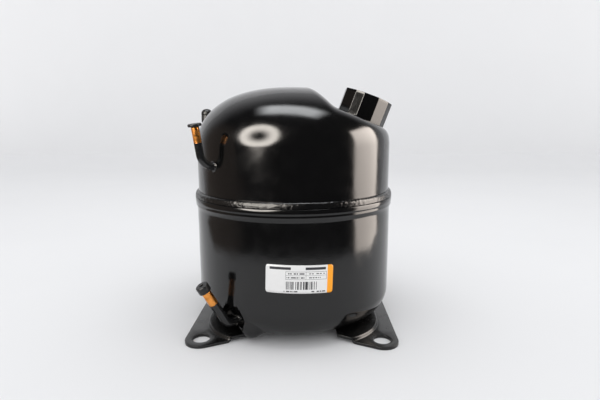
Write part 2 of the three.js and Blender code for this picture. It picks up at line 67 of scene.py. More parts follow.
class Wire:
    """A socket that takes part in sums: each operator adds the Math node that works it out."""

    def __init__(self, graph, socket):
        self.graph = graph
        self.socket = socket

    def math(self, operation, *values):
        return self.graph.node("Math", {"operation": operation}, dict(enumerate(values)))

    def __add__(self, other):
        return self.math("ADD", self, other)

    def __sub__(self, other):
        return self.math("SUBTRACT", self, other)

    def __rsub__(self, other):
        return self.math("SUBTRACT", other, self)

    def __mul__(self, other):
        return self.math("MULTIPLY", self, other)

    def __truediv__(self, other):
        return self.math("DIVIDE", self, other)

    def __gt__(self, other):
        return self.math("GREATER_THAN", self, other)

    def __lt__(self, other):
        return self.math("LESS_THAN", self, other)

    __radd__ = __add__
    __rmul__ = __mul__


class Graph:
    """A node tree that is written as Python calls."""

    def __init__(self, tree):
        self.tree = tree

    def node(self, kind, settings=(), values=(), output=0):
        """Adds a node, sets it, fills its sockets by index or name, and returns one output as a Wire."""
        made = self.tree.nodes.new("ShaderNode" + kind)
        settings = dict(settings)
        stops = settings.pop("stops", None)
        for name, value in settings.items():
            setattr(made, name, value)
        if stops:
            ramp = made.color_ramp
            while len(ramp.elements) < len(stops):
                ramp.elements.new(1)
            for element, (place, colour) in zip(ramp.elements, stops):
                element.position = place
                element.color = (*colour, 1)
        for key, value in dict(values).items():
            self.feed(self.socket(made.inputs, key), value)
        return Wire(self, self.socket(made.outputs, output))

    def socket(self, sockets, key):
        if isinstance(key, int):
            return sockets[key]
        return next(one for one in sockets if one.name == key and one.enabled)

    def feed(self, socket, value):
        if isinstance(value, Wire):
            self.tree.links.new(value.socket, socket)
        elif isinstance(value, tuple) and len(value) == 3 and socket.type == "RGBA":
            socket.default_value = (*value, 1)
        else:
            socket.default_value = value

    def mixed(self, factor, first, second):
        """A colour between two colours."""
        values = {"Factor": factor, "A": first, "B": second}
        return self.node("Mix", {"data_type": "RGBA"}, values, "Result")

    def eased(self, value, low, high, start=0.0, end=1.0):
        """Eases from start to end while a value runs from low to high."""
        values = {"Value": value, "From Min": low, "From Max": high, "To Min": start, "To Max": end}
        return self.node("MapRange", {"interpolation_type": "SMOOTHSTEP"}, values, "Result")


class Finish(Graph):
    """A Principled material. Sockets that are the same all over the surface are set by keyword."""

    def __init__(self, name, **fixed):
        self.material = bpy.data.materials.new(name)
        self.material.use_nodes = True
        super().__init__(self.material.node_tree)
        self.shader = self.tree.nodes["Principled BSDF"]
        self.set(**fixed)
        self.place = self.node("TexCoord", output="Object")

    def set(self, **values):
        for name, value in values.items():
            self.feed(self.shader.inputs[name.replace("_", " ")], value)

    def grain(self, size, detail=2.0, place=None, output="Fac"):
        """Noise whose spots are about one size across, in millimetres."""
        values = {"Vector": place or self.place, "Scale": 1 / (size * MM), "Detail": detail}
        return self.node("TexNoise", values=values, output=output)

    def stretched(self, x, y, z):
        """Object coordinates, stretched so that noise runs in streaks."""
        return self.node("Mapping", values={"Vector": self.place, "Scale": (x, y, z)})

    def relief(self, height, depth, under=None):
        """Bumps of one depth in millimetres, on top of any others."""
        values = {"Strength": 1.0, "Distance": depth * MM, "Height": height}
        if under:
            values["Normal"] = under
        return self.node("Bump", values=values)

    def up(self):
        """How far a surface faces up, from -1 to 1."""
        normal = self.node("NewGeometry", output="Normal")
        return self.node("SeparateXYZ", values={0: normal}, output="Z")


def black_paint(name, gloss, peel, dust):
    """Dipped black enamel: orange peel, faint runs, and a little settled dust."""
    paint = Finish(name, IOR=1.5)
    cloud = paint.grain(35, 3)
    specks = paint.eased(paint.grain(0.55, 1), 0.70, 0.76)
    settled = specks * paint.eased(paint.up(), 0.1, 0.9) * dust
    black = paint.mixed(cloud, (0.0022, 0.0022, 0.0024), (0.0036, 0.0035, 0.0034))
    paint.set(Base_Color=paint.mixed(settled, black, (0.16, 0.15, 0.14)))
    paint.set(Roughness=paint.eased(paint.grain(14, 4), 0.35, 0.7, gloss, gloss * 1.45) + settled * 0.3)
    waves = paint.relief(paint.grain(9, 1), 0.035)
    peeled = paint.relief(paint.grain(1.5, 1), peel, waves)
    paint.set(Normal=peeled)
    return paint


def arc(centre, radius, start, end, steps):
    """Profile points round an arc, from one angle to another in degrees."""
    angles = [math.radians(start + (end - start) * i / steps) for i in range(steps + 1)]
    return [(centre[0] + radius * math.cos(a), centre[1] + radius * math.sin(a)) for a in angles]


def spun(profile, steps, closed=False):
    """A skin turned about Z from (radius, height) points; a closed profile makes a ring."""
    shape = bmesh.new()
    verts = [shape.verts.new((r, 0, z)) for r, z in profile]
    edges = [shape.edges.new(pair) for pair in zip(verts, verts[1:])]
    if closed:
        edges.append(shape.edges.new((verts[-1], verts[0])))
    bmesh.ops.spin(
        shape, geom=verts + edges, axis=(0, 0, 1), cent=(0, 0, 0), angle=math.tau, steps=steps, use_merge=True
    )
    bmesh.ops.remove_doubles(shape, verts=shape.verts, dist=1e-4)
    bmesh.ops.recalc_face_normals(shape, faces=shape.faces)
    return shape


def piece(name, shape, finish, body, replaces=(), crease=40, wall=0, rounding=0):
    """Makes a finished object of a shape, with its wall put inside its skin and its edges eased."""
    bmesh.ops.scale(shape, vec=(MM, MM, MM), verts=shape.verts)
    mesh = bpy.data.meshes.new(name)
    shape.to_mesh(mesh)
    shape.free()
    mesh.shade_smooth()
    mesh.set_sharp_from_angle(angle=math.radians(crease))
    mesh.materials.append(finish.material)
    made = bpy.data.objects.new(name, mesh)
    bpy.context.scene.collection.objects.link(made)
    if wall:
        skin = made.modifiers.new("wall", "SOLIDIFY")
        skin.thickness = wall * MM
        skin.offset = -1
        skin.use_even_offset = True
    if rounding:
        edge = made.modifiers.new("rounding", "BEVEL")
        edge.width = rounding * MM
        edge.segments = 2
        edge.angle_limit = math.radians(50)
    if body:
        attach(made, body)
    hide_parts(*replaces)
    return made


def smooth_max(a, b, blend):
    """The larger of two heights, with the corner between them eased over a blend."""
    share = min(1, max(0, 0.5 + 0.5 * (a - b) / blend))
    return b + (a - b) * share + blend * share * (1 - share)


def ripple(shape, size, depth):
    """Moves a skin in and out a little, as pressed sheet does."""
    shape.normal_update()
    for vert in shape.verts:
        vert.co += vert.normal * depth * noise.noise(vert.co / size)


WALL = 3.2
cover_low, cover_high = box("upper_shell")
SHELL_R = cover_high.x
DOME_START = 203
DOME_POWER = 2.6
DOME_ROWS = 104
COVER_STEPS = 256

FLAT = Vector((78, 0, 230))  # middle of the terminals' flat
FLAT_TILT = math.radians(20.4)
FLAT_FOOT = Vector((43.8, 0, 242.7))  # where the flat meets the step up to the crown
STEP_SLOPE = 1.1
dome_height = cover_high.z - DOME_START
dome = []
for row in range(DOME_ROWS + 1):
    angle = math.pi / 2 * (1 - row / DOME_ROWS)
    dome.append((SHELL_R * math.sin(angle) ** (2 / DOME_POWER), DOME_START + dome_height * math.cos(angle)))
cover_wall = [(SHELL_R, cover_low.z + (DOME_START - cover_low.z) * i / 12) for i in range(12)]
cover = spun(cover_wall + dome, COVER_STEPS)
for vert in cover.verts:
    flat = FLAT.z - (vert.co.x - FLAT.x) * math.tan(FLAT_TILT)
    step = FLAT_FOOT.z + STEP_SLOPE * (FLAT_FOOT.x - vert.co.x)
    pressed = smooth_max(flat, step, 3)
    if vert.co.z > DOME_START - 10:
        vert.co.z = -smooth_max(-vert.co.z, -pressed, 9)
ripple(cover, 34, 0.16)
shell_paint = black_paint("gloss_black_paint", 0.115, 0.015, 0.3)
piece("pressed_upper_cover", cover, shell_paint, "housing", ["upper_shell"], wall=WALL)

# ---- Lower cup ------------------------------------------------------------------------------------------
# The deeper half of the shell: drawn steel with a round-cornered bottom and a rim swaged out to take the lid.
# A round pocket is pressed into its front left corner for the discharge tube, with a swelling beside it.

cup_low, cup_high = box("lower_shell")
CUP_R = 113.8
CORNER_R = 28
CUP_STEPS = 288
FLARE_Z = 130.5
SWAGE_RIBS = [(0.9, 4.8), (0.5, 5.8), (0.8, 7), (0.2, 8.8), (0, 10)]  # in from the rim, up from the flare
POCKET_AZIMUTH = math.radians(33)
POCKET_DROOP = math.radians(20)
POCKET_FLOOR = 18.2
POCKET_LIP = (12.2, 15.0)
POCKET_REACH = 24
POCKET_ROLL = (0.7, 1.6)  # rise and width of the steel rolled up round the lip
SWELLING = Vector((-42.5, -94, 11.5))
SWELLING_R = 17
SWELLING_RISE = 9
ring_r = CUP_R - CORNER_R
corner_z = cup_low.z + CORNER_R
rim_r = cup_high.x
rim_top = cup_high.z


def outward(azimuth):
    """The level direction at an azimuth counted from -Y towards -X."""
    return Vector((-math.sin(azimuth), -math.cos(azimuth), 0))


def on_cup(point):
    """The nearest place on the cup's skin below its flare, and the way out of the steel there."""
    level = Vector((point.x, point.y, 0))
    if level.length < ring_r:
        return Vector((point.x, point.y, cup_low.z)), Vector((0, 0, -1))
    centre = level.normalized() * ring_r + Vector((0, 0, max(corner_z, point.z)))
    out = (point - centre).normalized()
    return centre + out * CORNER_R, out


swage = [(CUP_R, FLARE_Z), (CUP_R + 0.3, FLARE_Z + 2.6)]
swage += [(rim_r - inset, FLARE_Z + up) for inset, up in SWAGE_RIBS]
swage += [(rim_r, rim_top - 0.8), (rim_r - 0.5, rim_top)]
bottom = [(0, cup_low.z), *[(ring_r * i / 9, cup_low.z) for i in range(1, 9)]]
side = [(CUP_R, corner_z + (FLARE_Z - corner_z) * i / 12) for i in range(1, 12)]
cup = spun(bottom + arc((ring_r, corner_z), CORNER_R, -90, 0, 22) + side + swage, CUP_STEPS)

pocket_way = outward(POCKET_AZIMUTH) * math.cos(POCKET_DROOP) - Vector((0, 0, math.sin(POCKET_DROOP)))
pocket_centre = outward(POCKET_AZIMUTH) * ring_r + Vector((0, 0, corner_z))
pocket_mouth = pocket_centre + pocket_way * CORNER_R


def near_pocket(point):
    """Whether a place is close enough to the pocket or the swelling to be moved by them."""
    return (point - pocket_mouth).length < POCKET_REACH or (point - SWELLING).length < SWELLING_R + 4


fine = [edge for edge in cup.edges if all(near_pocket(vert.co) for vert in edge.verts)]
bmesh.ops.subdivide_edges(cup, edges=fine, cuts=2, use_grid_fill=True)
for vert in cup.verts:
    if not near_pocket(vert.co):
        continue
    vert.co, out = on_cup(vert.co)
    away = (vert.co - SWELLING).length / SWELLING_R
    if away < 1:
        vert.co += out * SWELLING_RISE * (1 - away * away) ** 2
    offset = vert.co - pocket_centre
    height = offset.dot(pocket_way)
    radius = (offset - pocket_way * height).length
    ease = min(1, max(0, (radius - POCKET_LIP[0]) / (POCKET_LIP[1] - POCKET_LIP[0])))
    ease = ease * ease * (3 - 2 * ease)
    lip = POCKET_ROLL[0] * math.exp(-(((radius - POCKET_LIP[1] - 1) / POCKET_ROLL[1]) ** 2))
    if height > 0:
        vert.co += pocket_way * ((POCKET_FLOOR - height) * (1 - ease) + lip)
ripple(cup, 30, 0.16)
piece("drawn_lower_cup", cup, shell_paint, "housing", ["lower_shell"], wall=WALL)

# ---- Seam weld ------------------------------------------------------------------------------------------
# The lid is joined to the cup by one arc-welded bead, laid in a ring while the shell turns under the torch.
# Its ripples are a couple of millimetres apart, and paint covers it all.

bead_low, bead_high = box("seam_weld_bead")
BEAD_STEPS = 720
RIPPLE_PITCH = 2.1
BEAD_ROOT = 0.3  # how far the bead is sunk into the cover
bead_width = bead_high.x - SHELL_R - BEAD_ROOT
bead_rise = bead_high.z - bead_low.z
bead_profile = [(SHELL_R - BEAD_ROOT, bead_low.z)]
for i in range(11):
    angle = math.pi / 2 * i / 10
    radius = bead_high.x - bead_width * (1 - math.cos(angle) ** 0.8)
    bead_profile.append((radius, bead_low.z + bead_rise * math.sin(angle) ** 0.9))
bead_profile.append((SHELL_R - BEAD_ROOT, bead_high.z))
bead = spun(bead_profile, BEAD_STEPS, closed=True)
bead.normal_update()
for vert in bead.verts:
    around = math.atan2(vert.co.y, vert.co.x) * SHELL_R
    lean = 0.35 * (vert.co.z - bead_low.z)
    wander = noise.noise(Vector((around / 9, vert.co.z / 12, 0)))
    scale = 0.12 * math.cos(math.tau * (around + lean + 1.5 * wander) / RIPPLE_PITCH)
    lump = 0.30 * noise.noise(Vector((around / 3, vert.co.z / 3, 3)))
    if vert.co.to_2d().length > SHELL_R + 0.4:
        vert.co += vert.normal * (scale + lump - 0.25)
weld = black_paint("painted_weld", 0.14, 0.02, 0.4)
weld.set(Normal=weld.relief(weld.grain(0.8, 3), 0.16))
piece("seam_weld", bead, weld, "housing", ["seam_weld_bead"])

# ---- Feet -----------------------------------------------------------------------------------------------
# Two 3 mm steel pressings. Each is raised in the middle, where the shell is spot welded to it, and lies flat
# along its outer edge, with a large hole at each end for a rubber grommet. They are painted with the shell.

foot_low, foot_high = box("right_foot")
FOOT_SHEET = 3
FOOT_INNER = 48
FOOT_SHOULDER = 91
FOOT_TIP_Y = 122.2
FOOT_TIP_R = 17
GROMMET_HOLE = 9.25
GROMMET_AT = 95
PAD_CORNER = 62
PAD_CENTRE = Vector((36, 45))
STEP_ROWS = [(0, 0), (0.4, 0.1), (0.8, 0.55), (1.2, 1.7), (1.6, 2.85), (2.0, 3.35), (2.5, 3.5)]


def rounded(corners, radii, spacing, closed=False):
    """A path through corners that are rounded to their radii, in steps of about one spacing."""
    stations = []
    for i, radius in enumerate(radii):
        corner = Vector(corners[i])
        if radius == 0:
            stations.append(corner)
            continue
        back = (Vector(corners[i - 1]) - corner).normalized()
        ahead = (Vector(corners[(i + 1) % len(corners)]) - corner).normalized()
        turn = math.pi - back.angle(ahead)
        centre = corner + (back + ahead).normalized() * radius / math.cos(turn / 2)
        first = corner + back * radius * math.tan(turn / 2) - centre
        axis = ahead.cross(back)
        steps = max(3, round(turn * radius / spacing))
        stations += [centre + Quaternion(axis, turn * s / steps) @ first for s in range(steps + 1)]
    path = []
    for here, there in zip(stations, stations[1:] + (stations[:1] if closed else [])):
        parts = max(1, round((there - here).length / spacing))
        path += [here.lerp(there, p / parts) for p in range(parts)]
    return path if closed else path + [stations[-1]]


def sheet(columns, rows, place):
    """A grid whose points go where place(across, up) puts them, both running from 0 to 1."""
    shape = bmesh.new()
    bmesh.ops.create_grid(shape, x_segments=columns, y_segments=rows, size=0.5)
    for vert in shape.verts:
        vert.co = place(vert.co.x + 0.5, vert.co.y + 0.5)
    return shape


def loop(shape, points):
    """Edges through points and back to the first."""
    verts = [shape.verts.new(point) for point in points]
    return [shape.edges.new(pair) for pair in zip(verts, verts[1:] + verts[:1])]


front_edge = Vector((foot_high.x - FOOT_INNER, FOOT_SHOULDER - FOOT_TIP_Y)).normalized()
edge_depth = (PAD_CENTRE.x - FOOT_INNER) * -front_edge.y + (FOOT_SHOULDER - PAD_CENTRE.y) * front_edge.x


def pad_row(inset):
    """The pad's edge on a foot at one inset, from the front edge of the sheet to the back one."""
    radius = PAD_CORNER - inset
    start = math.degrees(math.atan2(-front_edge.x, front_edge.y) + math.acos(edge_depth / radius))
    front = arc((PAD_CENTRE.x, -PAD_CENTRE.y), radius, start, 0, 40)
    straight = [(PAD_CENTRE.x + radius, PAD_CENTRE.y * (i / 10 - 1)) for i in range(1, 20)]
    return front + straight + arc((PAD_CENTRE.x, PAD_CENTRE.y), radius, 0, -start, 40)


def foot(turned_round):
    rows = [pad_row(inset) for inset, rise in STEP_ROWS]
    columns = len(rows[0]) - 1

    def on_step(across, up):
        row = round(up * (len(rows) - 1))
        return Vector((*rows[row][round(across * columns)], FOOT_SHEET + STEP_ROWS[row][1]))

    shape = sheet(columns, len(rows) - 1, on_step)
    tips = [(foot_high.x, -FOOT_TIP_Y, FOOT_SHEET), (foot_high.x, FOOT_TIP_Y, FOOT_SHEET)]
    first, last = [Vector((*rows[0][end], FOOT_SHEET)) for end in (0, -1)]
    edge = loop(shape, rounded([first, *tips, last], [0, FOOT_TIP_R, FOOT_TIP_R, 0], 1.6)
                + [Vector((*point, FOOT_SHEET)) for point in rows[0][-2:0:-1]])
    for y in (-GROMMET_AT, GROMMET_AT):
        hole = arc((GROMMET_AT, y), GROMMET_HOLE, 0, 360, 56)[:-1]
        edge += loop(shape, [Vector((*point, FOOT_SHEET)) for point in hole])
    bmesh.ops.triangle_fill(shape, use_beauty=True, use_dissolve=False, edges=edge)
    top = FOOT_SHEET + STEP_ROWS[-1][1]
    backs = [(FOOT_INNER, FOOT_SHOULDER, top), (FOOT_INNER, -FOOT_SHOULDER, top)]
    first, last = [Vector((*rows[-1][end], top)) for end in (0, -1)]
    middle = loop(shape, rounded([last, *backs, first], [0, 2, 2, 0], 3)
                  + [Vector((*point, top)) for point in rows[-1][1:-1]])
    bmesh.ops.triangle_fill(shape, use_beauty=True, use_dissolve=False, edges=middle)
    bmesh.ops.remove_doubles(shape, verts=shape.verts, dist=0.01)
    for face in shape.faces:
        face.normal_update()
        if face.normal.z < 0:
            face.normal_flip()
    if turned_round:
        bmesh.ops.rotate(shape, cent=(0, 0, 0), matrix=Matrix.Rotation(math.pi, 3, "Z"), verts=shape.verts)
    return shape


foot_paint = black_paint("foot_black_paint", 0.20, 0.012, 0.5)
for side_name, turned_round in (("left", True), ("right", False)):
    piece(
        f"{side_name}_mounting_foot", foot(turned_round), foot_paint, "housing",
        [f"{side_name}_foot"], wall=FOOT_SHEET, rounding=0.45,
    )

# ---- Terminal fence -------------------------------------------------------------------------------------
# A folded sheet-steel collar, spot welded round the terminals, that takes the electrical cover. Its walls are
# flats between sharp bends, and two small drain holes are nibbled out of its lower edge.

on_flat = Matrix.Translation(FLAT) @ Matrix.Rotation(FLAT_TILT, 4, "Y")
FENCE_HEIGHT = 29.4
FENCE_WALL = 1.5
FENCE_FOOT = 0.3
FENCE_ROWS = [0, 0.14, 0.3, 0.6, 0.9, 1]
DRAIN_HOLES = [-14, -8.5]
DRAIN_R = 2.2
fence_front = [(-28, -10), (-17.5, -21.3), (-8, -25.4), (8.5, -25.4), (21.8, -15.5), (28, -5)]
fence_bends = [(u, v, 0) for u, v in fence_front] + [(u, -v, 0) for u, v in reversed(fence_front)]
fence_path = rounded(fence_bends, [3, 2.5, 2.5, 3, 3, 3] * 2, 0.6, closed=True)


def on_fence(across, up):
    point = fence_path[round(across * len(fence_path)) % len(fence_path)]
    height = FENCE_FOOT + (FENCE_HEIGHT - FENCE_FOOT) * FENCE_ROWS[round(up * (len(FENCE_ROWS) - 1))]
    reach = min(abs(point.x - hole) for hole in DRAIN_HOLES)
    if up == 0 and point.y < 0 and reach < DRAIN_R:
        height += math.sqrt(DRAIN_R ** 2 - reach ** 2)
    return Vector((point.x, point.y, height))


fence = sheet(len(fence_path), len(FENCE_ROWS) - 1, on_fence)
bmesh.ops.remove_doubles(fence, verts=fence.verts, dist=0.01)
bmesh.ops.recalc_face_normals(fence, faces=fence.faces)
bmesh.ops.transform(fence, matrix=on_flat, verts=fence.verts)
piece(
    "folded_terminal_fence", fence, shell_paint, "housing", ["terminal_fence"],
    wall=FENCE_WALL, rounding=0.25,
)

# ---- Sealed terminals -----------------------------------------------------------------------------------
# A plated steel cup welded into the cover holds three pins, each fused into a bead of dark glass that keeps
# the gas in. The pins carry the common, start and run leads to the motor.

HEADER_R = 17
PIN_CIRCLE = 8
PIN_R = 1.6
PIN_REACH = 14


def drawn_metal(name, colour, roughness):
    """Drawn or turned metal: fine streaks and a mottled surface."""
    steel = Finish(name, Metallic=1.0)
    cloud = steel.grain(4, 4)
    steel.set(Base_Color=steel.mixed(cloud, tuple(0.78 * c for c in colour), colour))
    steel.set(Roughness=steel.eased(cloud, 0.3, 0.7, roughness, roughness * 1.6))
    steel.set(Normal=steel.relief(steel.grain(0.3, 2, steel.stretched(1, 1, 0.2)), 0.006))
    return steel


bright_steel = drawn_metal("plated_steel", (0.55, 0.54, 0.51), 0.24)
header_profile = [(0, -2.2), (12.6, -2.2), *arc((12.6, -0.4), 1.8, -90, 0, 5), (14.4, 1.2)]
header_profile += [*arc((15.4, 1.4), 1.0, 180, 0, 8), (16.4, 0.6), (HEADER_R, 0.2), (HEADER_R, -4), (0, -4)]
header = spun(header_profile, 72)
bmesh.ops.transform(header, matrix=on_flat, verts=header.verts)
piece("terminal_cup", header, bright_steel, "housing", ["terminal_header"])

bead_glass = Finish("fused_bead_glass", IOR=1.52, Coat_Roughness=0.03, Coat_Weight=0.6)
bead_glass.set(Base_Color=bead_glass.mixed(bead_glass.grain(1.2, 3), (0.012, 0.03, 0.02), (0.03, 0.07, 0.05)))
bead_glass.set(Roughness=bead_glass.eased(bead_glass.grain(2, 2), 0.3, 0.7, 0.06, 0.14))
for use, degrees in (("common", 90), ("start", 210), ("run", 330)):
    at = Vector((PIN_CIRCLE, 0, 0))
    at.rotate(Matrix.Rotation(math.radians(degrees), 3, "Z"))
    stand = on_flat @ Matrix.Translation(at)
    pin_profile = [(0, -PIN_REACH), (1.0, -PIN_REACH), *arc((1.0, 0.6 - PIN_REACH), 0.6, -90, 0, 4)]
    pin_profile += [*arc((0.8, PIN_REACH - 0.8), 0.8, 0, 90, 5), (0, PIN_REACH)]
    pin = spun(pin_profile, 32)
    bmesh.ops.transform(pin, matrix=stand, verts=pin.verts)
    piece(f"pin_{use}", pin, bright_steel, "housing", [f"terminal_pin_{use}"])
    glass_profile = [(PIN_R, -2), (3.7, -2), (3.7, -1.0), (3.2, -0.2), (2.6, 0.3), (2.0, 1.3), (PIN_R, 2.8)]
    glass = spun(glass_profile, 40, closed=True)
    bmesh.ops.transform(glass, matrix=stand, verts=glass.verts)
    piece(
        f"glass_bead_{use}", glass, bead_glass, "housing", [f"terminal_glass_{use}"],
        crease=60,
    )

# ---- Copper tubes ---------------------------------------------------------------------------------------
# Suction, process and discharge tubes, brazed into the shell before it is painted. Their ends were masked,
# so bare copper shows in a band below each transport plug, and the paint stops at a ragged edge.


def swept(path, radius, sides):
    """A tube skin: a circle carried along a path, square to it and without twist."""
    shape = bmesh.new()
    ring = bmesh.ops.create_circle(shape, radius=radius, segments=sides)["verts"]
    place = Matrix.Identity(4)
    heading = Vector((0, 0, 1))
    for i, point in enumerate(path):
        if i:
            edges = [edge for edge in shape.edges if all(vert in ring for vert in edge.verts)]
            grown = bmesh.ops.extrude_edge_only(shape, edges=edges)["geom"]
            ring = [one for one in grown if isinstance(one, bmesh.types.BMVert)]
        ahead = (path[min(i + 1, len(path) - 1)] - path[max(i - 1, 0)]).normalized()
        turn = heading.rotation_difference(ahead).to_matrix().to_4x4()
        here = Matrix.Translation(point) @ turn @ Matrix.Translation(-place.translation)
        bmesh.ops.transform(shape, matrix=here, verts=ring)
        place = Matrix.Translation(point)
        heading = ahead
    bmesh.ops.recalc_face_normals(shape, faces=shape.faces)
    return shape


def tube_copper(name, end, along, bare):
    """Drawn copper with a tarnish, painted black up to a ragged edge one bare length from the tube's end."""
    copper = Finish(name)
    back = copper.node("VectorMath", {"operation": "SUBTRACT"}, {0: tuple(end * MM), 1: copper.place})
    depth = copper.node("VectorMath", {"operation": "DOT_PRODUCT"}, {0: back, 1: tuple(along)}, "Value")
    ragged = depth / MM + copper.grain(2.2, 3) * 2.4 - 1.2
    painted = copper.eased(ragged, bare - 0.25, bare + 0.25)
    tarnish = copper.eased(copper.grain(7, 4), 0.4, 0.7)
    metal = copper.mixed(tarnish, (0.88, 0.36, 0.085), (0.66, 0.25, 0.05))
    copper.set(Base_Color=copper.mixed(painted, metal, (0.010, 0.010, 0.0105)))
    copper.set(Metallic=1 - painted)
    copper.set(Roughness=copper.eased(copper.grain(3, 3), 0.3, 0.7, 0.24, 0.40) - painted * 0.14)
    drawn = copper.relief(copper.grain(0.4, 2, copper.stretched(1, 1, 0.08)), 0.006)
    copper.set(Normal=copper.relief(painted, 0.09, copper.relief(copper.grain(2.4, 2), 0.02, drawn)))
    return copper


def shell_tube(azimuth, root_z, corner_r, end_r, end_z):
    """The corners of a tube that leaves the wall level and turns up."""
    way = outward(math.radians(azimuth))
    low = Vector((0, 0, root_z))
    return [way * (SHELL_R - 12) + low, way * corner_r + low, way * end_r + Vector((0, 0, end_z))]


PROCESS_ROOT = (45, 183)  # azimuth and height where a tube leaves the wall
SUCTION_ROOT = (110.9, 200)
discharge_corners = [Vector((-53, -73, 18.5)), Vector((-67, -91.5, 17)), Vector((-88.6, -104.6, 62.2))]
tubes = {  # corners, bend radius, tube radius, wall and bare length
    "process": (shell_tube(*PROCESS_ROOT, 125, 131.5, 223), 15, 4, 1, 15.5),
    "suction": (shell_tube(*SUCTION_ROOT, 120.4, 120.4, 238), 9, 4.75, 1, 13),
    "discharge": (discharge_corners, 12, 4.75, 1.2, 21.5),
}
tube_ends = {}
for use, (corners, bend, radius, tube_wall, bare) in tubes.items():
    path = rounded(corners, [0, bend, 0], 1.2)
    along = (corners[2] - corners[1]).normalized()
    tube_ends[use] = Matrix.Translation(corners[2]) @ along.to_track_quat("Z", "Y").to_matrix().to_4x4()
    piece(
        f"{use}_tube_skin", swept(path, radius, 40), tube_copper(f"{use}_copper", corners[2], along, bare),
        "housing", [f"{use}_tube"], wall=tube_wall,
    )

# ---- Brazed joints --------------------------------------------------------------------------------------
# Each tube's root is sealed by a fillet of brazing alloy, drawn up round it by the flame and painted over.

BRAZE_WIDTH = 3.0
BRAZE_HEIGHT = 2.6
BRAZE_DEPTH = 0.6  # how far it reaches into the tube and the wall


def on_wall(azimuth, height):
    """Where a braze sits on the cover's wall, sunk into it a little, and the way it faces."""
    way = outward(math.radians(azimuth))
    return way * (SHELL_R - 0.3) + Vector((0, 0, height)), way


pocket_floor = pocket_centre + pocket_way * POCKET_FLOOR
discharge_start = discharge_corners[0]
discharge_way = (discharge_corners[1] - discharge_start).normalized()
reach = (pocket_floor - discharge_start).dot(pocket_way) / discharge_way.dot(pocket_way)
braze_seats = {
    "process": on_wall(*PROCESS_ROOT),
    "suction": on_wall(*SUCTION_ROOT),
    "discharge": (discharge_start + discharge_way * (reach - 0.2), pocket_way),
}
for use, (seat, way) in braze_seats.items():
    radius = tubes[use][2]
    fillet = arc((radius + BRAZE_WIDTH, BRAZE_HEIGHT), BRAZE_HEIGHT, 270, 180, 8)
    toe = radius + BRAZE_WIDTH
    fillet = [(toe + (r - toe) * BRAZE_WIDTH / BRAZE_HEIGHT, z) for r, z in fillet]
    root = radius - BRAZE_DEPTH
    braze = spun([(root, -BRAZE_DEPTH), (toe, -BRAZE_DEPTH), *fillet, (root, BRAZE_HEIGHT)], 56, closed=True)
    braze.normal_update()
    for vert in braze.verts:
        vert.co += vert.normal * 0.45 * noise.noise(vert.co / 2.4)
    stand = Matrix.Translation(seat) @ way.to_track_quat("Z", "Y").to_matrix().to_4x4()
    bmesh.ops.transform(braze, matrix=stand, verts=braze.verts)
    piece(f"{use}_braze", braze, weld, "housing", crease=70)

# ---- Transport plugs ------------------------------------------------------------------------------------
# Moulded rubber plugs that keep the charge of dry gas in and dirt out until the tubes are brazed to a system.
# They pull off along their tubes: a flanged stopper, a domed cap and a cup with a vent hole.

plug_rubber = Finish("moulded_rubber", IOR=1.45)
plug_bloom = plug_rubber.eased(plug_rubber.grain(5, 4), 0.45, 0.8)
plug_rubber.set(Base_Color=plug_rubber.mixed(plug_bloom, (0.009, 0.009, 0.010), (0.020, 0.019, 0.018)))
plug_rubber.set(Roughness=plug_rubber.eased(plug_bloom, 0, 1, 0.30, 0.45))
moulded = plug_rubber.relief(plug_rubber.grain(0.5, 3), 0.02)
plug_rubber.set(Normal=plug_rubber.relief(plug_rubber.grain(3, 2), 0.05, moulded))

stopper = [(0, -9), (2.3, -9), *arc((2.3, -8.6), 0.4, -90, 0, 3), (2.7, 0.3), (6.2, 0.3)]
stopper += [*arc((6.2, 0.9), 0.6, -90, 0, 4), *arc((5.7, 2.1), 1.1, 0, 90, 6)]
stopper += [(4.6, 3.3), (3.4, 3.2), (0, 3.2)]
cap = [(0, 1), (5.05, 1), (5.05, -8.6), (5.4, -9), (6.5, -9), *arc((6.6, -8.6), 0.4, -90, 0, 3)]
cap += [(7, -1), (6.75, -0.6), (6.75, 0.1), (7, 0.5), (7, 2.4), *arc((1, 2.0), 6.0, 4, 90, 18), (0, 8)]
cup_plug = [(5.05, -4.2), (5.35, -4.5), (6.3, -4.5), *arc((6.3, -4.2), 0.3, -90, 0, 3), (6.6, 2.4)]
cup_plug += [*arc((5.6, 2.4), 1.0, 0, 90, 6), (2.4, 3.4), (2.0, 3.0), (2.0, 1), (5.05, 1)]
plugs = {"process": (stopper, False), "suction": (cap, False), "discharge": (cup_plug, True)}
for use, (profile, closed) in plugs.items():
    plug = spun(profile, 72, closed)
    bmesh.ops.transform(plug, matrix=tube_ends[use], verts=plug.verts)
    piece(f"{use}_transport_plug", plug, plug_rubber, f"{use}_cap", [f"{use}_plug"])

# ---- Name label -----------------------------------------------------------------------------------------
# A printed white polyester label, stuck on slightly askew, with an orange stripe down its right edge. Its
# bars, table and bar code are plain blocks that say nothing.

LABEL_SIZE = Vector((67.8, 28.9))
LABEL_CENTRE = Vector((9.4, 74.9))
LABEL_TURN = math.radians(-1.7)
LABEL_CORNER = 2.5
LABEL_R = CUP_R + 0.5


def on_label(across, up):
    u = (across - 0.5) * LABEL_SIZE.x
    run = max(0, abs(u) - LABEL_SIZE.x / 2 + LABEL_CORNER)
    half = LABEL_SIZE.y / 2 - LABEL_CORNER + math.sqrt(LABEL_CORNER ** 2 - min(run, LABEL_CORNER) ** 2)
    v = (up * 2 - 1) * half
    x = LABEL_CENTRE.x + u * math.cos(LABEL_TURN) - v * math.sin(LABEL_TURN)
    z = LABEL_CENTRE.y + u * math.sin(LABEL_TURN) + v * math.cos(LABEL_TURN)
    return Vector((LABEL_R * math.sin(x / LABEL_R), -LABEL_R * math.cos(x / LABEL_R), z))


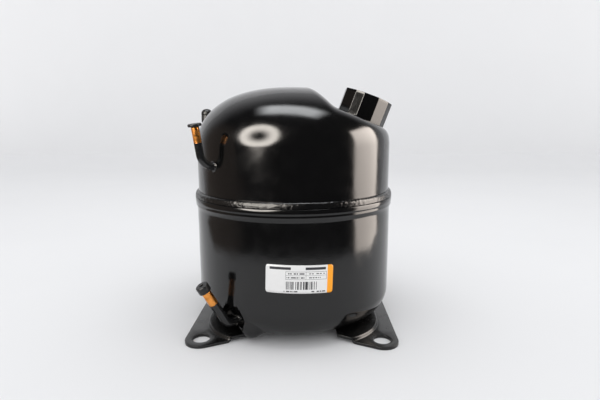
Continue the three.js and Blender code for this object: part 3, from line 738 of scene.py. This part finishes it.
label = sheet(132, 12, on_label)
printed_at = label.loops.layers.uv.new("print")
for face in label.faces:
    for corner in face.loops:
        x = math.atan2(corner.vert.co.x, -corner.vert.co.y) * LABEL_R - LABEL_CENTRE.x
        z = corner.vert.co.z - LABEL_CENTRE.y
        u = x * math.cos(LABEL_TURN) + z * math.sin(LABEL_TURN)
        v = z * math.cos(LABEL_TURN) - x * math.sin(LABEL_TURN)
        corner[printed_at].uv = (u + LABEL_SIZE.x / 2, v + LABEL_SIZE.y / 2)

paper = Finish("printed_label", IOR=1.46)
where = paper.node("UVMap", {"uv_map": "print"})
across = paper.node("SeparateXYZ", values={0: where}, output="X")
up = paper.node("SeparateXYZ", values={0: where}, output="Y")


def printed_block(left, right, low, high):
    """1 inside a block of the label, in millimetres from its lower left corner."""
    return (across > left) * (across < right) * (up > low) * (up < high)


def printed_marks(left, right, low, high, pitch, share, seed):
    """A row of short dashes of uneven length inside a block."""
    cell = paper.node("Math", {"operation": "FLOOR"}, {0: across / pitch})
    dice = paper.node("TexWhiteNoise", {"noise_dimensions": "1D"}, {"W": cell + seed}, "Value")
    return printed_block(left, right, low, high) * (dice < share)


solid_blocks = [(4, 25, 24.2, 26.8), (39.5, 60, 24.2, 26.8), (20, 61, 18.3, 18.55), (40, 40.25, 14.3, 22.3)]
mark_rows = [
    (21, 39, 19.6, 20.9, 0.7, 0.6, 47),
    (21, 39, 15.6, 16.8, 0.7, 0.55, 59),
    (43, 59, 19.8, 20.7, 0.9, 0.6, 31),
    (43, 59, 15.7, 16.7, 0.9, 0.4, 11),
    (20, 51, 4.0, 12.2, 0.36, 0.5, 71),
    (18, 32, 1.4, 2.6, 0.8, 0.6, 83),
    (46, 60, 1.4, 2.6, 0.8, 0.7, 23),
]
ink = printed_block(20, 61, 14.2, 22.4) - printed_block(20.3, 60.7, 14.5, 22.1)
for block in solid_blocks:
    ink = ink + printed_block(*block)
for row in mark_rows:
    ink = ink + printed_marks(*row)
ink = paper.node("Math", {"operation": "MINIMUM"}, {0: ink, 1: 1.0})
stripe = (across > 61.9) * 1.0
white = paper.mixed(paper.grain(6, 4), (0.78, 0.775, 0.765), (0.72, 0.715, 0.705))
coloured = paper.mixed(stripe, white, (0.95, 0.36, 0.01))
paper.set(Base_Color=paper.mixed(ink * (1 - stripe), coloured, (0.035, 0.035, 0.04)))
paper.set(Roughness=paper.eased(paper.grain(4, 3), 0.3, 0.7, 0.34, 0.46) - ink * 0.06)
paper.set(Normal=paper.relief(paper.grain(0.35, 3), 0.004, paper.relief(paper.grain(11, 1), 0.03)))
piece("printed_name_label", label, paper, "housing", ["name_label"], wall=0.3)

# ---- Suspended pump, inside -----------------------------------------------------------------------------
# The motor, cylinder block, crank train, valves and mufflers keep the shapes they were designed with: sand
# cast iron, stacked silicon-steel sheets, enamelled wire, ground shafts, sprung steel and moulded nylon.


def dress(finish, *nodes):
    """Gives CAD nodes a finish."""
    for name in nodes:
        for material_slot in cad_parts[name].material_slots:
            material_slot.material = finish.material


four = range(1, 5)
sprung = drawn_metal("oiled_spring_steel", (0.30, 0.30, 0.32), 0.28)
dress(sprung, "suction_reed", "discharge_reed")
ground = drawn_metal("ground_steel", (0.50, 0.50, 0.49), 0.20)
dress(ground, "crankshaft", "wrist_pin", "crank_pin", "thrust_washer")
dress(ground, "piston", "counterweight", "valve_plate")
dress(ground, *[f"stator_bolt_{i}" for i in four], *[f"head_bolt_{i}" for i in four])
dress(ground, *[f"spring_seat_{i}" for i in four], "oil_pickup", "discharge_muffler")

iron = Finish("sand_cast_iron", Metallic=0.6)
iron.set(Base_Color=iron.mixed(iron.grain(3, 5), (0.07, 0.07, 0.075), (0.15, 0.145, 0.14)))
iron.set(Roughness=iron.eased(iron.grain(2, 3), 0.3, 0.7, 0.50, 0.72))
iron.set(Normal=iron.relief(iron.grain(0.8, 5), 0.12))
dress(iron, "cylinder_block")

sheets = Finish("stacked_laminations", Metallic=1.0)
layer = sheets.node("SeparateXYZ", values={0: sheets.place}, output="Z") / (0.5 * MM)
groove = sheets.node("Math", {"operation": "PINGPONG"}, {0: layer, 1: 0.5}) * 2
sheets.set(Base_Color=sheets.mixed(sheets.grain(6, 4), (0.16, 0.18, 0.21), (0.27, 0.27, 0.27)))
sheets.set(Roughness=sheets.eased(groove, 0, 1, 0.5, 0.36))
sheets.set(Normal=sheets.relief(groove, 0.05))
dress(sheets, "stator_core", "rotor")

wire = Finish("enamelled_wire", IOR=1.5, Coat_Roughness=0.1, Coat_Weight=0.5)
strands = wire.grain(1.1, 1, wire.stretched(0.25, 0.25, 1))
wire.set(Base_Color=wire.mixed(strands, (0.24, 0.07, 0.025), (0.52, 0.21, 0.08)))
wire.set(Metallic=wire.eased(strands, 0.3, 0.7, 0.3, 0.7))
wire.set(Roughness=wire.eased(strands, 0.3, 0.7, 0.28, 0.4))
wire.set(Normal=wire.relief(strands, 0.4))
dress(wire, "upper_winding", "lower_winding")

alloy = Finish("die_cast_aluminium", Metallic=1.0)
alloy.set(Base_Color=alloy.mixed(alloy.grain(3, 4), (0.50, 0.51, 0.52), (0.64, 0.64, 0.64)))
alloy.set(Roughness=alloy.eased(alloy.grain(1.4, 3), 0.3, 0.7, 0.32, 0.48))
alloy.set(Normal=alloy.relief(alloy.grain(0.9, 4), 0.05))
dress(alloy, "connecting_rod", "cylinder_head")

fibre = Finish("gasket_fibre", IOR=1.45)
fibre.set(Base_Color=fibre.mixed(fibre.grain(0.6, 4), (0.03, 0.05, 0.045), (0.09, 0.12, 0.10)))
fibre.set(Roughness=fibre.eased(fibre.grain(1, 2), 0.3, 0.7, 0.65, 0.85))
fibre.set(Normal=fibre.relief(fibre.grain(0.4, 3), 0.05))
dress(fibre, "head_gasket")

nylon = Finish("moulded_nylon", IOR=1.53, Subsurface_Weight=0.1)
nylon.set(Base_Color=nylon.mixed(nylon.grain(12, 3), (0.62, 0.57, 0.44), (0.72, 0.68, 0.56)))
nylon.set(Roughness=nylon.eased(nylon.grain(3, 3), 0.3, 0.7, 0.36, 0.48))
nylon.set(Normal=nylon.relief(nylon.grain(0.7, 3), 0.02))
dress(nylon, "suction_muffler")


def giving(name, node, finish):
    """A copy of a CAD node in a finish of its own, standing in the node's place and tied to no body."""
    shape = bmesh.new()
    shape.from_mesh(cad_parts[node].data)
    bmesh.ops.scale(shape, vec=(1 / MM, 1 / MM, 1 / MM), verts=shape.verts)
    bmesh.ops.remove_doubles(shape, verts=shape.verts, dist=1e-4)
    made = piece(name, shape, finish, None, [node])
    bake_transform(made)


for i in four:
    giving(f"coil_spring_{i}", f"suspension_spring_{i}", sprung)
loop_copper = drawn_metal("drawn_copper", (0.80, 0.36, 0.12), 0.26)
giving("shock_loop", "discharge_loop", loop_copper)
giving("motor_leads", "lead_harness", nylon)

# ---- Studio ---------------------------------------------------------------------------------------------
# A pale sheet to stand on, cut round in front and swept up behind, under one soft box. A strip to the right,
# a panel over the crown and a ring at the front left show only in gloss, and fade towards their edges.

FLOOR_R = 0.42  # the round front of the sheet, in metres like all the stage
FLOOR_BACK = 2.2
FLOOR_FLARE = 0.95
BACKDROP_HEIGHT = 2.2
ROUND_SHARE = 0.12  # shares of the sheet's length: its round front, where it starts to rise, where it stands
RISE_SHARE = 0.5
FLOOR_SHARE = 0.6


def on_backdrop(across, up):
    y = FLOOR_BACK * min(1, (up - ROUND_SHARE) / (FLOOR_SHARE - ROUND_SHARE))
    half = FLOOR_R + FLOOR_FLARE * y
    if y < 0:
        y = -FLOOR_R * math.sin(math.pi / 2 * (1 - up / ROUND_SHARE))
        half = math.sqrt(max(0, FLOOR_R ** 2 - y ** 2))
    rise = max(0, up - RISE_SHARE) / (1 - RISE_SHARE)
    return Vector(((across * 2 - 1) * half, y, BACKDROP_HEIGHT * rise ** 2.2))


def show(name, shape, material):
    """Puts a stage piece, which isn't part of the compressor, in the scene."""
    mesh = bpy.data.meshes.new(name)
    shape.to_mesh(mesh)
    shape.free()
    mesh.shade_smooth()
    mesh.materials.append(material)
    made = bpy.data.objects.new(name, mesh)
    bpy.context.scene.collection.objects.link(made)
    return made


card = Finish("pale_card", Specular_IOR_Level=0.0)
card.set(Base_Color=card.mixed(card.grain(220, 2), (0.76, 0.76, 0.765), (0.74, 0.74, 0.745)))
card.set(Roughness=card.eased(card.grain(60, 2), 0.3, 0.7, 0.62, 0.7))
show("backdrop", sheet(24, 100, on_backdrop), card.material)

lamp = bpy.data.lights.new("overhead_soft_box", "AREA")
lamp.shape = "RECTANGLE"
lamp.size, lamp.size_y = (1.3, 0.5)
lamp.energy = 4.0
lamp_object = bpy.data.objects.new("overhead_soft_box", lamp)
lamp_object.location = (0.06, -0.04, 1.40)
lamp_object.visible_camera = False
lamp_object.visible_glossy = False
bpy.context.scene.collection.objects.link(lamp_object)


def glowing_sheet(name, size, place, turn, radiance, colour, shine):
    """A flat glow that only gloss picks up, as bright at each (u, v) of its face, -1 to 1, as a rule says."""
    shape = bmesh.new()
    shape.loops.layers.uv.new("face")
    bmesh.ops.create_grid(shape, x_segments=1, y_segments=1, size=0.5, calc_uvs=True)
    bmesh.ops.scale(shape, vec=(*size, 1), verts=shape.verts)
    stand = Matrix.Translation(place) @ turn.to_matrix().to_4x4()
    bmesh.ops.transform(shape, matrix=stand, verts=shape.verts)
    glow = Finish(name + "_glow", Emission_Strength=radiance, Base_Color=(0.0, 0.0, 0.0))
    face = glow.node("UVMap", {"uv_map": "face"})
    u = glow.node("SeparateXYZ", values={0: face}, output="X") * 2 - 1
    v = glow.node("SeparateXYZ", values={0: face}, output="Y") * 2 - 1
    glow.set(Emission_Color=glow.mixed(shine(glow, u, v), (0.0, 0.0, 0.0), colour))
    made = show(name, shape, glow.material)
    made.visible_camera = False
    made.visible_diffuse = False
    made.visible_shadow = False


def soft_edges(fade_u, fade_v, dim_low=1.0):
    """A rule for a rectangle that fades towards its edges, and to a share of its glow at its low end."""

    def shine(glow, u, v):
        across = glow.eased(u.math("ABSOLUTE", u), 1 - fade_u, 1, 1.0, 0.0)
        along = glow.eased(v.math("ABSOLUTE", v), 1 - fade_v, 1, 1.0, 0.0)
        return across * along * glow.eased(v, -0.6, 0.8, dim_low, 1.0)

    return shine


def soft_ring(glow, u, v):
    """A rule for a ring with a dim middle."""
    out = u.math("SQRT", u * u + v * v)
    return glow.eased(out, 0.10, 0.56) * glow.eased(out, 0.64, 0.86, 1.0, 0.0)


def turned(x, y, z):
    return Euler((math.radians(x), math.radians(y), math.radians(z)))


glowing_sheet(
    "right_strip", (0.36, 0.56), (0.50, -0.045, 0.20), turned(90, 0, 90), 12.0, (1.0, 0.90, 0.82),
    soft_edges(0.25, 0.2, 0.5),
)
glowing_sheet(
    "crown_panel", (1.35, 0.66), (0.0, -0.14, 1.40), turned(0, 0, -14), 8.0, (0.96, 0.98, 1.0),
    soft_edges(0.5, 0.7),
)
RING_PLACE = Vector((-0.55, -0.74, 0.58))
ring_turn = (Vector((-0.03, -0.106, 0.213)) - RING_PLACE).to_track_quat("Z", "Y")
glowing_sheet("front_ring", (1.04, 1.14), RING_PLACE, ring_turn, 17.0, (1.0, 0.94, 0.86), soft_ring)

world = bpy.data.worlds.new("studio")
world.use_nodes = True
bpy.context.scene.world = world
room = Graph(world.node_tree)
direction = room.node("TexCoord", output="Generated")
toward = {axis: room.node("SeparateXYZ", values={0: direction}, output=axis) for axis in "XYZ"}
low_front = room.eased(toward["Y"], -0.2, -0.8) * room.eased(toward["Z"], 0.5, 0.1)
lit = room.mixed(low_front, (1.05, 1.06, 1.08), (1.35, 1.35, 1.36))
behind = room.eased(toward["Y"], 0.1, 0.7)
left = room.eased(toward["X"], -0.75, -0.95)
mirrored = room.mixed(behind, (0.03, 0.03, 0.032), (0.66, 0.66, 0.68))
mirrored = room.mixed(left, mirrored, (0.22, 0.18, 0.155))
is_glossy = room.node("LightPath", output="Is Glossy Ray")
is_camera = room.node("LightPath", output="Is Camera Ray")
lit = room.mixed(is_glossy, lit, mirrored)
lit = room.mixed(is_camera, lit, (0.80, 0.81, 0.83))
room.feed(world.node_tree.nodes["Background"].inputs["Color"], lit)

camera = bpy.data.cameras.new("camera")
camera.lens = 25.8
camera.sensor_width = 36
camera_object = bpy.data.objects.new("camera", camera)
camera_object.location = (0.0186, -0.5166, 0.2211)
camera_object.rotation_euler = (math.radians(80.55), math.radians(0.17), math.radians(1.2))
bpy.context.scene.collection.objects.link(camera_object)
bpy.context.scene.camera = camera_object
bpy.context.scene.view_settings.view_transform = "Standard"
